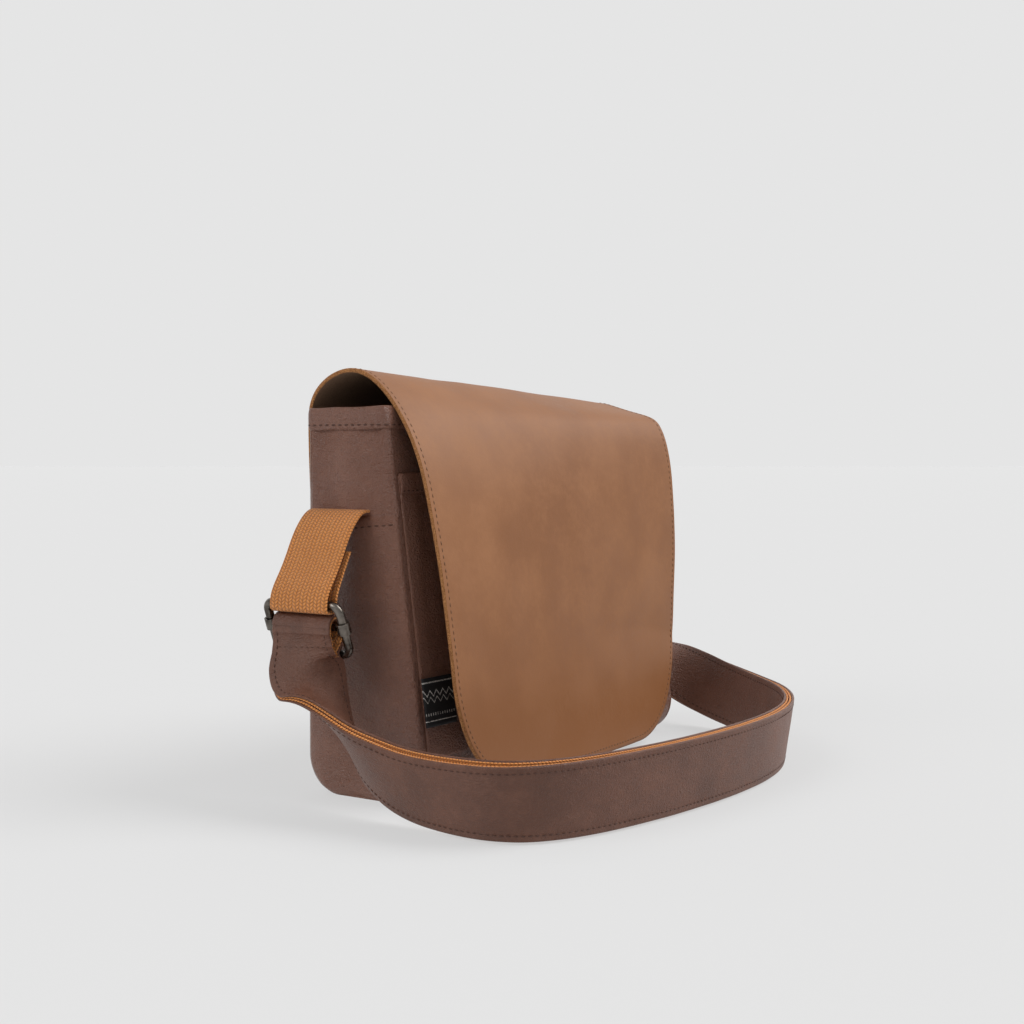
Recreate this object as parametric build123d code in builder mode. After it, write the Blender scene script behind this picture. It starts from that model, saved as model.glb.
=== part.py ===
from build123d import *
from math import atan2, cos, degrees, pi, radians, sin
import os

# Sling bag, millimetres, +Z up, front face towards -Y.
# Origin: centre of the footprint on the surface the bag stands on.

bag_width = 264.0          # outside of left gusset to outside of right gusset
bag_height = 204.0         # rim height
back_y = 42.0              # upright back face
front_top_y = -10.0        # front face at the rim
front_base_y = -37.0       # front face at the floor
base_round = 20.0          # soft rounding of the lower edges
leather = 2.0              # body leather with its backing
lining_gauge = 0.8
hem_gauge = 1.0            # folded hem laid over the body leather
hem_height = 12.0
patch_top = 149.0          # lower gusset patch reaches this high
patch_gauge = 1.4
pocket_top = 170.0
pocket_bulge = 8.5
pocket_gauge = 1.6
flap_width = 256.0
flap_gauge = 1.5
flap_lining_gauge = 0.4
flap_bottom = 5.0
flap_corner = 55.0
yoke_height = 36.0
yoke_gauge = 3.0
hinge_z = 199.0
strap_width = 38.0         # standard one and a half inch strap
ply_gauge = 1.5
buckle_wire = 4.6
bar_wire = 4.0
anchor_y = 17.5
anchor_z = 150.0
half = bag_width / 2
skin = 0.3                 # clearance between pieces that move apart


# side outline of the bag, drawn on the YZ plane and shrunk evenly by inset
def side_outline(inset, top):
    lean = (front_top_y - front_base_y) / bag_height
    back = back_y - inset
    with BuildSketch(Plane.YZ) as outline:
        with BuildLine():
            Polyline(
                (front_base_y + lean * top + inset, top),
                (front_base_y + lean * inset + inset, inset),
                (back, inset),
                (back, top),
                close=True,
            )
        make_face()
        fillet(outline.vertices().sort_by(Axis.Y)[0:2], base_round - inset)
    return outline.sketch


def side_slab(outline, x_start, thickness):
    start = outline.moved(Location((x_start, 0, 0)))
    return extrude(start, amount=thickness, dir=(1, 0, 0), mode=Mode.PRIVATE)


front_direction = Vector(0, front_top_y - front_base_y, bag_height).normalized()
front_normal = Vector(0, -front_direction.Z, front_direction.Y)
front_plane = Plane(origin=(0, front_base_y, 0), x_dir=(1, 0, 0), z_dir=front_normal)

# body shell between the gussets, cut into back, bottom and front
shell_length = bag_width - 2 * leather
shell_outer = side_outline(0.0, bag_height)
shell_inner = side_outline(leather, bag_height + 20)
split_z = 24.0

with BuildPart() as back_panel:
    add(side_slab(shell_outer, -shell_length / 2, shell_length))
    add(side_slab(shell_inner, -half, bag_width), mode=Mode.SUBTRACT)
    split(bisect_by=Plane.XY.offset(split_z), keep=Keep.TOP)
    split(bisect_by=Plane.XZ.offset(-10), keep=Keep.BOTTOM)
back_panel.part.label = "back_panel"

with BuildPart() as front_panel:
    add(side_slab(shell_outer, -shell_length / 2, shell_length))
    add(side_slab(shell_inner, -half, bag_width), mode=Mode.SUBTRACT)
    split(bisect_by=Plane.XY.offset(split_z), keep=Keep.TOP)
    split(bisect_by=Plane.XZ.offset(-10), keep=Keep.TOP)
front_panel.part.label = "front_panel"

with BuildPart() as bottom_panel:
    add(side_slab(shell_outer, -shell_length / 2, shell_length))
    add(side_slab(shell_inner, -half, bag_width), mode=Mode.SUBTRACT)
    split(bisect_by=Plane.XY.offset(split_z), keep=Keep.BOTTOM)
bottom_panel.part.label = "bottom_panel"

# side walls
with BuildPart() as left_gusset:
    add(side_slab(shell_outer, -half, leather))
left_gusset.part.label = "left_gusset"

with BuildPart() as right_gusset:
    add(side_slab(shell_outer, half - leather, leather))
right_gusset.part.label = "right_gusset"

# lower overlay of each side wall, its top seam holds the strap anchor
with BuildPart() as left_gusset_patch:
    add(side_slab(side_outline(0.6, patch_top), -half - patch_gauge, patch_gauge))
left_gusset_patch.part.label = "left_gusset_patch"

with BuildPart() as right_gusset_patch:
    add(side_slab(side_outline(0.6, patch_top), half, patch_gauge))
right_gusset_patch.part.label = "right_gusset_patch"

# folded hems around the mouth
hem_low = bag_height - hem_height
hem_front = front_base_y + (front_top_y - front_base_y) * hem_low / bag_height

with BuildPart() as left_hem:
    with BuildSketch(Plane.YZ.offset(-half - hem_gauge)):
        with BuildLine():
            Polyline(
                (front_top_y, bag_height),
                (hem_front, hem_low),
                (back_y, hem_low),
                (back_y, bag_height),
                close=True,
            )
        make_face()
    extrude(amount=hem_gauge)
left_hem.part.label = "left_hem"

with BuildPart() as right_hem:
    add(mirror(left_hem.part, about=Plane.YZ))
right_hem.part.label = "right_hem"

with BuildPart() as front_hem:
    with BuildSketch(front_plane):
        with Locations((0, bag_height / front_direction.Z - hem_height / 2)):
            Rectangle(bag_width, hem_height)
    extrude(amount=hem_gauge)
front_hem.part.label = "front_hem"

# band on the back that the flap is sewn to
with BuildPart() as back_yoke:
    with BuildSketch(Plane.XZ.offset(-back_y)):
        with Locations((0, hinge_z - 2.5 - yoke_height / 2)):
            Rectangle(flap_width, yoke_height)
    extrude(amount=-yoke_gauge)
back_yoke.part.label = "back_yoke"

# fabric lining inside
inner_width = bag_width - 2 * leather
with BuildPart() as lining:
    add(side_slab(side_outline(leather, bag_height - 1), -inner_width / 2, inner_width))
    add(
        side_slab(
            side_outline(leather + lining_gauge, bag_height + 20),
            -inner_width / 2 + lining_gauge,
            inner_width - 2 * lining_gauge,
        ),
        mode=Mode.SUBTRACT,
    )
lining.part.label = "lining"

# stiff board lying on the lining
board_z = leather + lining_gauge + 0.05
with BuildPart() as base_board:
    with BuildSketch(Plane.XY.offset(board_z)):
        with Locations((0, 4.0)):
            RectangleRounded(inner_width - 8, 34.0, 4.0)
    extrude(amount=2.0)
base_board.part.label = "base_board"

# slip pocket on the front, bowed out so that it holds something
pocket_low = 26.0
pocket_half = half - 3.0
with BuildPart() as front_pocket:
    with BuildSketch(Plane(origin=front_plane.from_local_coords((0, pocket_low, 0)),
                           x_dir=(1, 0, 0), z_dir=front_direction)):
        with BuildLine():
            outer_bow = ThreePointArc(
                (-pocket_half, -pocket_gauge),
                (0, -pocket_bulge - pocket_gauge),
                (pocket_half, -pocket_gauge),
            )
            Line(outer_bow @ 1, (pocket_half, 0))
            inner_bow = ThreePointArc((pocket_half, 0), (0, -pocket_bulge), (-pocket_half, 0))
            Line((-pocket_half, 0), (-pocket_half, -pocket_gauge))
        make_face()
    extrude(amount=pocket_top / front_direction.Z - pocket_low)
    with BuildSketch(Plane(origin=front_plane.from_local_coords((0, pocket_low - 2.0, 0)),
                           x_dir=(1, 0, 0), z_dir=front_direction)):
        with BuildLine():
            floor_bow = ThreePointArc(
                (-pocket_half, -pocket_gauge),
                (0, -pocket_bulge - pocket_gauge),
                (pocket_half, -pocket_gauge),
            )
            Polyline(
                (pocket_half, -pocket_gauge),
                (pocket_half, 0),
                (-pocket_half, 0),
                (-pocket_half, -pocket_gauge),
            )
        make_face()
    extrude(amount=2.0)
front_pocket.part.label = "front_pocket"

with BuildPart() as pocket_hem:
    hem_start = pocket_top / front_direction.Z - 9.0
    with BuildSketch(Plane(origin=front_plane.from_local_coords((0, hem_start, 0)),
                           x_dir=(1, 0, 0), z_dir=front_direction)):
        with BuildLine():
            hem_bow = ThreePointArc(
                (-pocket_half, -pocket_gauge - 1.0),
                (0, -pocket_bulge - pocket_gauge - 1.0),
                (pocket_half, -pocket_gauge - 1.0),
            )
            Line((pocket_half, -pocket_gauge - 1.0), (pocket_half, -pocket_gauge))
            ThreePointArc(
                (pocket_half, -pocket_gauge),
                (0, -pocket_bulge - pocket_gauge),
                (-pocket_half, -pocket_gauge),
            )
            Line((-pocket_half, -pocket_gauge), (-pocket_half, -pocket_gauge - 1.0))
        make_face()
    extrude(amount=9.0)
pocket_hem.part.label = "pocket_hem"

# slip pocket inside, against the back
inner_pocket_y = back_y - leather - lining_gauge
inner_depth = 8.0
with BuildPart() as inner_pocket:
    with BuildSketch(Plane.XY.offset(70.0)):
        with Locations((0, inner_pocket_y - inner_depth / 2)):
            Rectangle(190.0, inner_depth)
    extrude(amount=92.0)
    with BuildSketch(Plane.XY.offset(71.2)):
        with Locations((0, inner_pocket_y - (inner_depth - 1.2) / 2)):
            Rectangle(187.6, inner_depth - 1.2)
    extrude(amount=100.0, mode=Mode.SUBTRACT)
inner_pocket.part.label = "inner_pocket"

with BuildPart() as inner_pocket_hem:
    with BuildSketch(Plane.XY.offset(154.0)):
        with Locations((0, inner_pocket_y - inner_depth - 0.4)):
            Rectangle(190.0, 0.8)
    extrude(amount=8.0)
inner_pocket_hem.part.label = "inner_pocket_hem"

# flap profile in the YZ plane, outer surface, from the hinge over the crown to the front hem
flap_line = [
    (46.2, 200.2),
    (44.8, 206.2),
    (40.4, 213.2),
    (31.0, 220.4),
    (18.0, 224.0),
    (7.0, 221.4),
    (-6.0, 213.2),
    (-16.4, 201.2),
    (-24.3, 187.4),
    (-31.4, 169.6),
    (-36.4, 150.0),
    (-41.6, 124.0),
    (-45.6, 100.0),
    (-49.2, 76.0),
    (-52.6, 52.0),
    (-55.6, 28.0),
    (-58.2, 3.0),
]


def flap_offset(distance):
    moved = []
    last = len(flap_line) - 1
    for index, (y, z) in enumerate(flap_line):
        before = flap_line[max(index - 1, 0)]
        after = flap_line[min(index + 1, last)]
        angle = atan2(after[1] - before[1], after[0] - before[0])
        moved.append((y - distance * sin(angle), z + distance * cos(angle)))
    return moved


def flap_section(near, far):
    outside = flap_offset(near)
    inside = flap_offset(far)
    with BuildSketch(Plane.YZ.offset(-flap_width / 2)) as section:
        with BuildLine():
            Spline(*outside)
            Line(outside[-1], inside[-1])
            Spline(*inside)
            Line(outside[0], inside[0])
        make_face()
    return section.sketch


# front view of the flap, round at both lower corners
def flap_front(inset, low):
    wide = flap_width / 2 - inset
    with BuildSketch(Plane.XZ.offset(80)) as front:
        with BuildLine():
            Polyline((-wide, 240), (-wide, low), (wide, low), (wide, 240), close=True)
        make_face()
        fillet(front.vertices().sort_by(Axis.Y)[0:2], flap_corner - inset)
    return front.sketch


leather_sheet = extrude(flap_section(0.0, flap_gauge), amount=flap_width, dir=(1, 0, 0))
leather_shape = extrude(flap_front(0.0, flap_bottom), amount=160, dir=(0, 1, 0))
with BuildPart() as flap_leather:
    add(leather_sheet)
    add(leather_shape, mode=Mode.INTERSECT)
flap_leather.part.label = "flap_leather"

lining_section = flap_section(flap_gauge, flap_gauge + flap_lining_gauge)
lining_sheet = extrude(lining_section, amount=flap_width, dir=(1, 0, 0))
lining_shape = extrude(flap_front(1.0, flap_bottom + 1.0), amount=160, dir=(0, 1, 0))
with BuildPart() as flap_lining:
    add(lining_sheet)
    add(lining_shape, mode=Mode.INTERSECT)
flap_lining.part.label = "flap_lining"

# magnetic catches, one disc behind the flap and one on the pocket for each
magnet_x = 62.0
magnet_radius = 8.0
magnet_gauge = 1.6
magnet_z = 64.0
flap_inside = flap_offset(flap_gauge + flap_lining_gauge)
upper = flap_inside[13]
lower = flap_inside[14]
share = (magnet_z - lower[1]) / (upper[1] - lower[1])
flap_spot = Vector(0, lower[0] + share * (upper[0] - lower[0]), magnet_z)
flap_slope = Vector(0, upper[0] - lower[0], upper[1] - lower[1]).normalized()
flap_inward = Vector(0, flap_slope.Z, -flap_slope.Y)
pocket_reach = pocket_gauge + pocket_bulge * (1 - (magnet_x / pocket_half) ** 2)

flap_magnets = {}
pocket_magnets = {}
for side, sign in (("left", -1), ("right", 1)):
    flap_face = Plane(
        origin=flap_spot + Vector(sign * magnet_x, 0, 0) + flap_inward * 0.05,
        x_dir=(1, 0, 0),
        z_dir=flap_inward,
    )
    with BuildPart() as flap_magnet:
        with BuildSketch(flap_face):
            Circle(magnet_radius)
        extrude(amount=magnet_gauge)
    flap_magnet.part.label = f"flap_magnet_{side}"
    flap_magnets[side] = flap_magnet.part

    pocket_spot = front_plane.from_local_coords((sign * magnet_x, 64.0, pocket_reach + 0.6))
    pocket_face = Plane(origin=pocket_spot, x_dir=(1, 0, 0), z_dir=front_normal)
    with BuildPart() as pocket_magnet:
        with BuildSketch(pocket_face):
            Circle(magnet_radius)
        extrude(amount=magnet_gauge)
    pocket_magnet.part.label = f"pocket_magnet_{side}"
    pocket_magnets[side] = pocket_magnet.part

# woven tab caught in the seam beside the pocket
with BuildPart() as woven_label:
    with BuildSketch(front_plane.offset(5.0)):
        with Locations((-half + 11.0, 53.0)):
            Rectangle(22.0, 25.0)
    extrude(amount=0.7)
woven_label.part.label = "woven_label"

# strap loop: stations along its middle line, each with the direction across its width
left_run = [
    ((-161.0, 17.5, 92.5), (0.0, 1.0, 0.0)),
    ((-161.0, 17.5, 89.5), (0.0, 1.0, 0.0)),
    ((-162.2, 17.4, 84.6), (0.0, 1.0, 0.0)),
    ((-165.4, 17.0, 78.0), (-0.06, 1.0, 0.0)),
    ((-167.0, 14.8, 70.0), (-0.42, 0.90, 0.06)),
    ((-166.2, 6.2, 58.5), (-0.86, 0.30, 0.38)),
    ((-168.6, -7.5, 45.5), (-0.83, -0.12, 0.55)),
    ((-172.0, -22.3, 34.1), (-0.65, -0.25, 0.72)),
    ((-173.8, -38.8, 26.3), (-0.45, -0.24, 0.86)),
    ((-174.6, -56.5, 21.4), (-0.36, -0.13, 0.92)),
    ((-176.2, -80.0, 19.9), (-0.30, -0.04, 0.95)),
    ((-175.4, -103.9, 19.9), (-0.26, -0.09, 0.96)),
    ((-166.4, -119.5, 19.9), (-0.18, -0.13, 0.97)),
    ((-145.8, -132.0, 19.9), (-0.10, -0.16, 0.98)),
    ((-112.0, -142.5, 19.9), (0.0, -0.16, 0.98)),
]
right_run = [
    ((-66.0, -150.5, 19.9), (0.0, -0.16, 0.98)),
    ((-18.0, -154.5, 19.9), (0.0, -0.16, 0.98)),
    ((30.0, -152.5, 19.9), (0.0, -0.16, 0.98)),
    ((72.0, -141.5, 19.9), (0.03, -0.14, 0.98)),
    ((112.0, -118.5, 19.9), (0.08, -0.12, 0.98)),
    ((146.0, -84.0, 19.9), (0.14, -0.1, 0.98)),
    ((164.0, -47.0, 25.0), (0.36, -0.05, 0.93)),
    ((167.5, -19.0, 35.0), (0.7, 0.0, 0.7)),
    ((168.0, -1.0, 47.5), (0.85, 0.35, 0.35)),
    ((168.4, 9.5, 60.0), (0.6, 0.78, 0.1)),
    ((167.6, 15.4, 71.0), (0.12, 0.99, 0.0)),
    ((165.0, 17.0, 78.0), (0.02, 1.0, 0.0)),
    ((162.2, 17.4, 84.6), (0.0, 1.0, 0.0)),
    ((161.0, 17.5, 89.5), (0.0, 1.0, 0.0)),
    ((161.0, 17.5, 92.5), (0.0, 1.0, 0.0)),
]
stations = left_run + right_run
strap_path = Spline(*[place for place, across in stations])
station_at = [strap_path.param_at_point(Vector(*place)) for place, across in stations]


def strap_frame(at):
    index = 0
    while index < len(stations) - 2 and station_at[index + 1] < at:
        index += 1
    span = station_at[index + 1] - station_at[index]
    blend = min(max((at - station_at[index]) / span, 0.0), 1.0)
    blend = blend * blend * (3 - 2 * blend)
    start = Vector(*stations[index][1]).normalized()
    finish = Vector(*stations[index + 1][1]).normalized()
    across = start * (1 - blend) + finish * blend
    place = strap_path @ at
    along = (strap_path % at).normalized()
    if place.Z > plumb_z:
        along = Vector(0, 0, round(along.Z))
        place = Vector(stations[0][0][0] * (1 if at < 0.5 else -1), place.Y, place.Z)
    across = (across - along * across.dot(along)).normalized()
    return place, along, across


strap_sections = 110
plumb_z = 89.0             # above this the folded ends hang plumb


# one ply along the whole strap; near and far are measured outward
def strap_ply(near, far, width):
    with BuildPart() as ply:
        for step in range(strap_sections + 1):
            share = step / strap_sections
            at = share - 0.11 * sin(2 * pi * share)    # sections stand closer at the ends
            place, along, across = strap_frame(at)
            outward = along.cross(across)
            low = near(at)
            high = far(at)
            middle = place + outward * ((low + high) / 2)
            with BuildSketch(Plane(origin=middle, x_dir=across, z_dir=along)):
                Rectangle(width, high - low)
        loft(ruled=True)
    return ply.part


slack_end = (station_at[15] + station_at[16]) / 2
strap_slack = 2.2
back_ply_gauge = 1.3
bar_gap = 4.0              # half the space kept for the bar inside each folded end


# the plies part around the bar at each end and lie close elsewhere
def spread(at):
    height = (strap_path @ at).Z
    return bar_gap * min(max((height - 79.0) / 9.0, 0.0), 1.0)


def main_inner(at):
    return 0.2 + spread(at)


def main_middle(at):
    return main_inner(at) + ply_gauge


def main_outer(at):
    return main_middle(at) + ply_gauge


# the back plies stand a little off the front ones along the front of the bag
def back_top(at):
    slack = sin(radians(180 * min(at / slack_end, 1.0))) ** 2
    return -0.2 - spread(at) - strap_slack * slack


def back_middle(at):
    return back_top(at) - back_ply_gauge


def back_inner(at):
    return back_middle(at) - back_ply_gauge


strap_webbing = strap_ply(main_inner, main_middle, strap_width - 0.8)
strap_webbing.label = "strap_webbing"
strap_leather = strap_ply(main_middle, main_outer, strap_width)
strap_leather.label = "strap_leather"
strap_back_webbing = strap_ply(back_middle, back_top, strap_width - 0.8)
strap_back_webbing.label = "strap_back_webbing"
strap_back_leather = strap_ply(back_inner, back_middle, strap_width)
strap_back_leather.label = "strap_back_leather"

# turn of each strap end over its bar
turn_inner = bar_gap + 0.2
turn_outer = bar_gap + 0.2 + 2 * ply_gauge - 0.2


def end_turn(x):
    with BuildPart() as turn:
        with BuildSketch(Plane.XZ.offset(-anchor_y - strap_width / 2)):
            with Locations((x, strap_top + 0.02)):
                Circle(turn_outer)
                Circle(turn_inner, mode=Mode.SUBTRACT)
            with Locations((x, strap_top + 0.02 - turn_outer)):
                Rectangle(3 * turn_outer, 2 * turn_outer, mode=Mode.SUBTRACT)
        extrude(amount=strap_width)
    return turn.part


strap_top = stations[0][0][2]
bar_x = stations[0][0][0]
left_turn = end_turn(bar_x)
left_turn.label = "left_end_turn"
right_turn = end_turn(-bar_x)
right_turn.label = "right_end_turn"

# buckle frame: round wire bent to a rounded rectangle, tipped inwards at the foot
frame_wide = 48.0          # between wire centres
frame_tall = 27.0
frame_y = anchor_y + 1.0
rail_tip = 21.0            # degrees off upright
rail_up = Vector(-sin(radians(rail_tip)), 0, cos(radians(rail_tip)))
rail_out = Vector(-cos(radians(rail_tip)), 0, -sin(radians(rail_tip)))
bar_to_top = 12.0
bar_centre = Vector(bar_x, frame_y, strap_top)
frame_centre = bar_centre + rail_up * (bar_to_top - frame_tall / 2)
frame_plane = Plane(origin=frame_centre, x_dir=(0, -1, 0), z_dir=rail_out)


def wire_ring(wide, tall, corner, plane):
    with BuildPart() as ring:
        with BuildLine(plane):
            with BuildSketch(plane, mode=Mode.PRIVATE) as outline:
                RectangleRounded(wide, tall, corner)
            add(outline.sketch.faces()[0].outer_wire())
        start = plane.from_local_coords((wide / 2, 0, 0))
        with BuildSketch(Plane(origin=start, x_dir=plane.x_dir, z_dir=plane.y_dir)):
            Circle(buckle_wire / 2)
        sweep()
    return ring.part


buckle_frame = wire_ring(frame_wide, frame_tall, 4.6, frame_plane)
buckle_frame.label = "buckle_frame"

# bar that rides on the two rails of the frame, with a collar round each rail
collar_bore = buckle_wire / 2 + skin
collar_radius = 3.5
with BuildPart() as buckle_bar:
    with BuildSketch(Plane.XZ.offset(-frame_y + frame_wide / 2 - 3.0)):
        with Locations((bar_x, strap_top)):
            Circle(bar_wire / 2)
    extrude(amount=-frame_wide + 6.0)
    for sign in (-1, 1):
        rail = bar_centre + Vector(0, sign * frame_wide / 2, 0)
        with BuildSketch(Plane(origin=rail - rail_up * 3.0, x_dir=(0, 1, 0), z_dir=rail_up)):
            Circle(collar_radius)
        extrude(amount=6.0)
    for sign in (-1, 1):
        rail = bar_centre + Vector(0, sign * frame_wide / 2, 0)
        with BuildSketch(Plane(origin=rail - rail_up * 6.0, x_dir=(0, 1, 0), z_dir=rail_up)):
            Circle(collar_bore)
        extrude(amount=12.0, mode=Mode.SUBTRACT)
buckle_bar.part.label = "buckle_bar"

# plain ring on the right, between its anchor webbing and the strap end
ring_up = Vector(sin(radians(rail_tip)), 0, cos(radians(rail_tip)))
ring_out = Vector(cos(radians(rail_tip)), 0, -sin(radians(rail_tip)))
ring_centre = Vector(-bar_x, anchor_y, strap_top) + ring_up * (bar_to_top / 2)
ring_plane = Plane(origin=ring_centre, x_dir=(0, 1, 0), z_dir=ring_out)
right_ring = wire_ring(frame_wide - 2.0, bar_to_top, 4.0, ring_plane)
right_ring.label = "right_ring"

# anchor webbing, from the side seam down round the top of the buckle and back up
anchor_gauge = 1.6
webbing_width = strap_width - 1.0
top_bar = bar_centre + rail_up * bar_to_top
wrap = buckle_wire / 2 + 0.3 + anchor_gauge / 2
with BuildPart() as left_webbing:
    with BuildSketch(Plane.XZ.offset(-anchor_y - webbing_width / 2)):
        with BuildLine() as run:
            down = Spline(
                (-134.4, anchor_z),
                (-141.0, 147.6),
                (-151.0, 137.5),
                (-160.0, 121.5),
                (top_bar.X - wrap, top_bar.Z),
                tangents=[(-1, 0), (0, -1)],
            )
            under = ThreePointArc(
                (top_bar.X - wrap, top_bar.Z),
                (top_bar.X, top_bar.Z - wrap),
                (top_bar.X + wrap, top_bar.Z),
            )
            back = Spline(
                (top_bar.X + wrap, top_bar.Z),
                (-158.0, 115.0),
                (-150.6, 129.5),
                tangents=[(0, 1), (0.5, 0.8)],
            )
        trace(run.line, line_width=anchor_gauge)
    extrude(amount=webbing_width)
left_webbing.part.label = "left_webbing"

with BuildPart() as right_webbing:
    add(mirror(left_webbing.part, about=Plane.YZ))
right_webbing.part.label = "right_webbing"

pieces = [
    back_panel.part,
    front_panel.part,
    bottom_panel.part,
    left_gusset.part,
    right_gusset.part,
    left_gusset_patch.part,
    right_gusset_patch.part,
    left_hem.part,
    right_hem.part,
    front_hem.part,
    back_yoke.part,
    lining.part,
    base_board.part,
    front_pocket.part,
    pocket_hem.part,
    inner_pocket.part,
    inner_pocket_hem.part,
    flap_leather.part,
    flap_lining.part,
    flap_magnets["left"],
    flap_magnets["right"],
    pocket_magnets["left"],
    pocket_magnets["right"],
    woven_label.part,
    strap_webbing,
    strap_leather,
    strap_back_webbing,
    strap_back_leather,
    left_turn,
    right_turn,
    buckle_frame,
    buckle_bar.part,
    right_ring,
    left_webbing.part,
    right_webbing.part,
]

os.makedirs("parts", exist_ok=True)
for piece in pieces:
    export_step(piece, f"parts/{piece.label}.step")
    box = piece.bounding_box()
    print(piece.label, "volume", round(piece.volume, 1), "solids", len(piece.solids()),
          "from", [round(v, 1) for v in box.min], "to", [round(v, 1) for v in box.max])
print("strap middle line", round(strap_path.length, 1), "mm")
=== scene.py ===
import math
import random

import bmesh
import bpy
from mathutils import Matrix, Vector, noise


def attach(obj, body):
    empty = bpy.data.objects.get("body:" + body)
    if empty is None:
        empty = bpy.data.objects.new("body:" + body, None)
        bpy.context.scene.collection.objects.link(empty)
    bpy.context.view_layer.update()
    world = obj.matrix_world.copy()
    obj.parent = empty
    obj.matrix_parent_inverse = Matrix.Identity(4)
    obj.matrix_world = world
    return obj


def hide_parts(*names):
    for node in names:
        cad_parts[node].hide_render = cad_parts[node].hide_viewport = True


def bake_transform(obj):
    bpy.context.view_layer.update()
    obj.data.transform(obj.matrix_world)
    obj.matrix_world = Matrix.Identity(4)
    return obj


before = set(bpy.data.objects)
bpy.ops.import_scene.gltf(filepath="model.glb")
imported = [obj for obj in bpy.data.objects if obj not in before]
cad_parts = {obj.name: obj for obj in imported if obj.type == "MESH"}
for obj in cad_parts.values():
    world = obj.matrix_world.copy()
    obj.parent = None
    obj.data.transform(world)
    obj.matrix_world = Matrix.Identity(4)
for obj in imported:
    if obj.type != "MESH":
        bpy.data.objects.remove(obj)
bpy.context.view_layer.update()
mm = 0.001
random.seed(7)
print("frame loaded")


# camera and strap first

cameraLook = {
    "place": (-761.6, -509.0, 182.7),
    "turn": 56.19,   # degrees from looking along +Y towards +X
    "dip": 2.35,     # degrees below level
    "lens": 54.96,
}


def makeCamera(look):
    data = bpy.data.cameras.new("camera")
    data.lens = look["lens"]
    data.sensor_width = 36.0
    camera = bpy.data.objects.new("camera", data)
    camera.location = Vector(look["place"]) * mm
    camera.rotation_euler = (math.radians(90 - look["dip"]), 0, math.radians(-look["turn"]))
    bpy.context.collection.objects.link(camera)
    bpy.context.scene.camera = camera


makeCamera(cameraLook)

# the strap's middle line in metres, and the direction across its width at each point
strapRoute = [
    ((-0.1610, 0.0175, 0.0925), (0, 1, 0)),
    ((-0.1610, 0.0175, 0.0895), (0, 1, 0)),
    ((-0.1622, 0.0174, 0.0846), (0, 1, 0)),
    ((-0.1654, 0.0170, 0.0780), (-0.06, 1, 0)),
    ((-0.1670, 0.0148, 0.0700), (-0.42, 0.9, 0.06)),
    ((-0.1662, 0.0062, 0.0585), (-0.86, 0.3, 0.38)),
    ((-0.1686, -0.0075, 0.0455), (-0.83, -0.12, 0.55)),
    ((-0.1720, -0.0223, 0.0341), (-0.65, -0.25, 0.72)),
    ((-0.1738, -0.0388, 0.0263), (-0.45, -0.24, 0.86)),
    ((-0.1746, -0.0565, 0.0214), (-0.36, -0.13, 0.92)),
    ((-0.1762, -0.0800, 0.0199), (-0.3, -0.04, 0.95)),
    ((-0.1754, -0.1039, 0.0199), (-0.26, -0.09, 0.96)),
    ((-0.1664, -0.1195, 0.0199), (-0.18, -0.13, 0.97)),
    ((-0.1458, -0.1320, 0.0199), (-0.1, -0.16, 0.98)),
    ((-0.1120, -0.1425, 0.0199), (0, -0.16, 0.98)),
    ((-0.0660, -0.1505, 0.0199), (0, -0.16, 0.98)),
    ((-0.0180, -0.1545, 0.0199), (0, -0.16, 0.98)),
    ((0.0300, -0.1525, 0.0199), (0, -0.16, 0.98)),
    ((0.0720, -0.1415, 0.0199), (0.03, -0.14, 0.98)),
    ((0.1120, -0.1185, 0.0199), (0.08, -0.12, 0.98)),
    ((0.1460, -0.0840, 0.0199), (0.14, -0.1, 0.98)),
    ((0.1640, -0.0470, 0.0250), (0.36, -0.05, 0.93)),
    ((0.1675, -0.0190, 0.0350), (0.7, 0, 0.7)),
    ((0.1680, -0.0010, 0.0475), (0.85, 0.35, 0.35)),
    ((0.1684, 0.0095, 0.0600), (0.6, 0.78, 0.1)),
    ((0.1676, 0.0154, 0.0710), (0.12, 0.99, 0)),
    ((0.1650, 0.0170, 0.0780), (0.02, 1, 0)),
    ((0.1622, 0.0174, 0.0846), (0, 1, 0)),
    ((0.1610, 0.0175, 0.0895), (0, 1, 0)),
    ((0.1610, 0.0175, 0.0925), (0, 1, 0)),
]


# points along a smooth NURBS line with those control points
def readSpline(controls, perSpan):
    curve = bpy.data.curves.new("line", "CURVE")
    curve.dimensions = "3D"
    spline = curve.splines.new("NURBS")
    spline.points.add(len(controls) - 1)
    for point, place in zip(spline.points, controls):
        point.co = (*place, 1.0)
    spline.order_u = 3
    spline.use_endpoint_u = True
    spline.resolution_u = perSpan
    holder = bpy.data.objects.new("line", curve)
    bpy.context.collection.objects.link(holder)
    bpy.context.view_layer.update()
    graph = bpy.context.evaluated_depsgraph_get()
    mesh = bpy.data.meshes.new_from_object(holder.evaluated_get(graph))
    places = [vertex.co.copy() for vertex in mesh.vertices]
    bpy.data.meshes.remove(mesh)
    bpy.data.objects.remove(holder)
    return places


def readRoute(route, perSpan):
    places = readSpline([place for place, across in route], perSpan)
    widths = readSpline([across for place, across in route], perSpan)
    frames = []
    last = len(places) - 1
    for step, (place, across) in enumerate(zip(places, widths)):
        along = (places[min(step + 1, last)] - places[max(step - 1, 0)]).normalized()
        across = (across - along * across.dot(along)).normalized()
        frames.append((place, along, across))
    return frames


strapFrames = readRoute(strapRoute, 12)
strapLength = sum((b[0] - a[0]).length for a, b in zip(strapFrames, strapFrames[1:]))
print("strap line", round(strapLength, 4), len(strapFrames))


# materials

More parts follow.
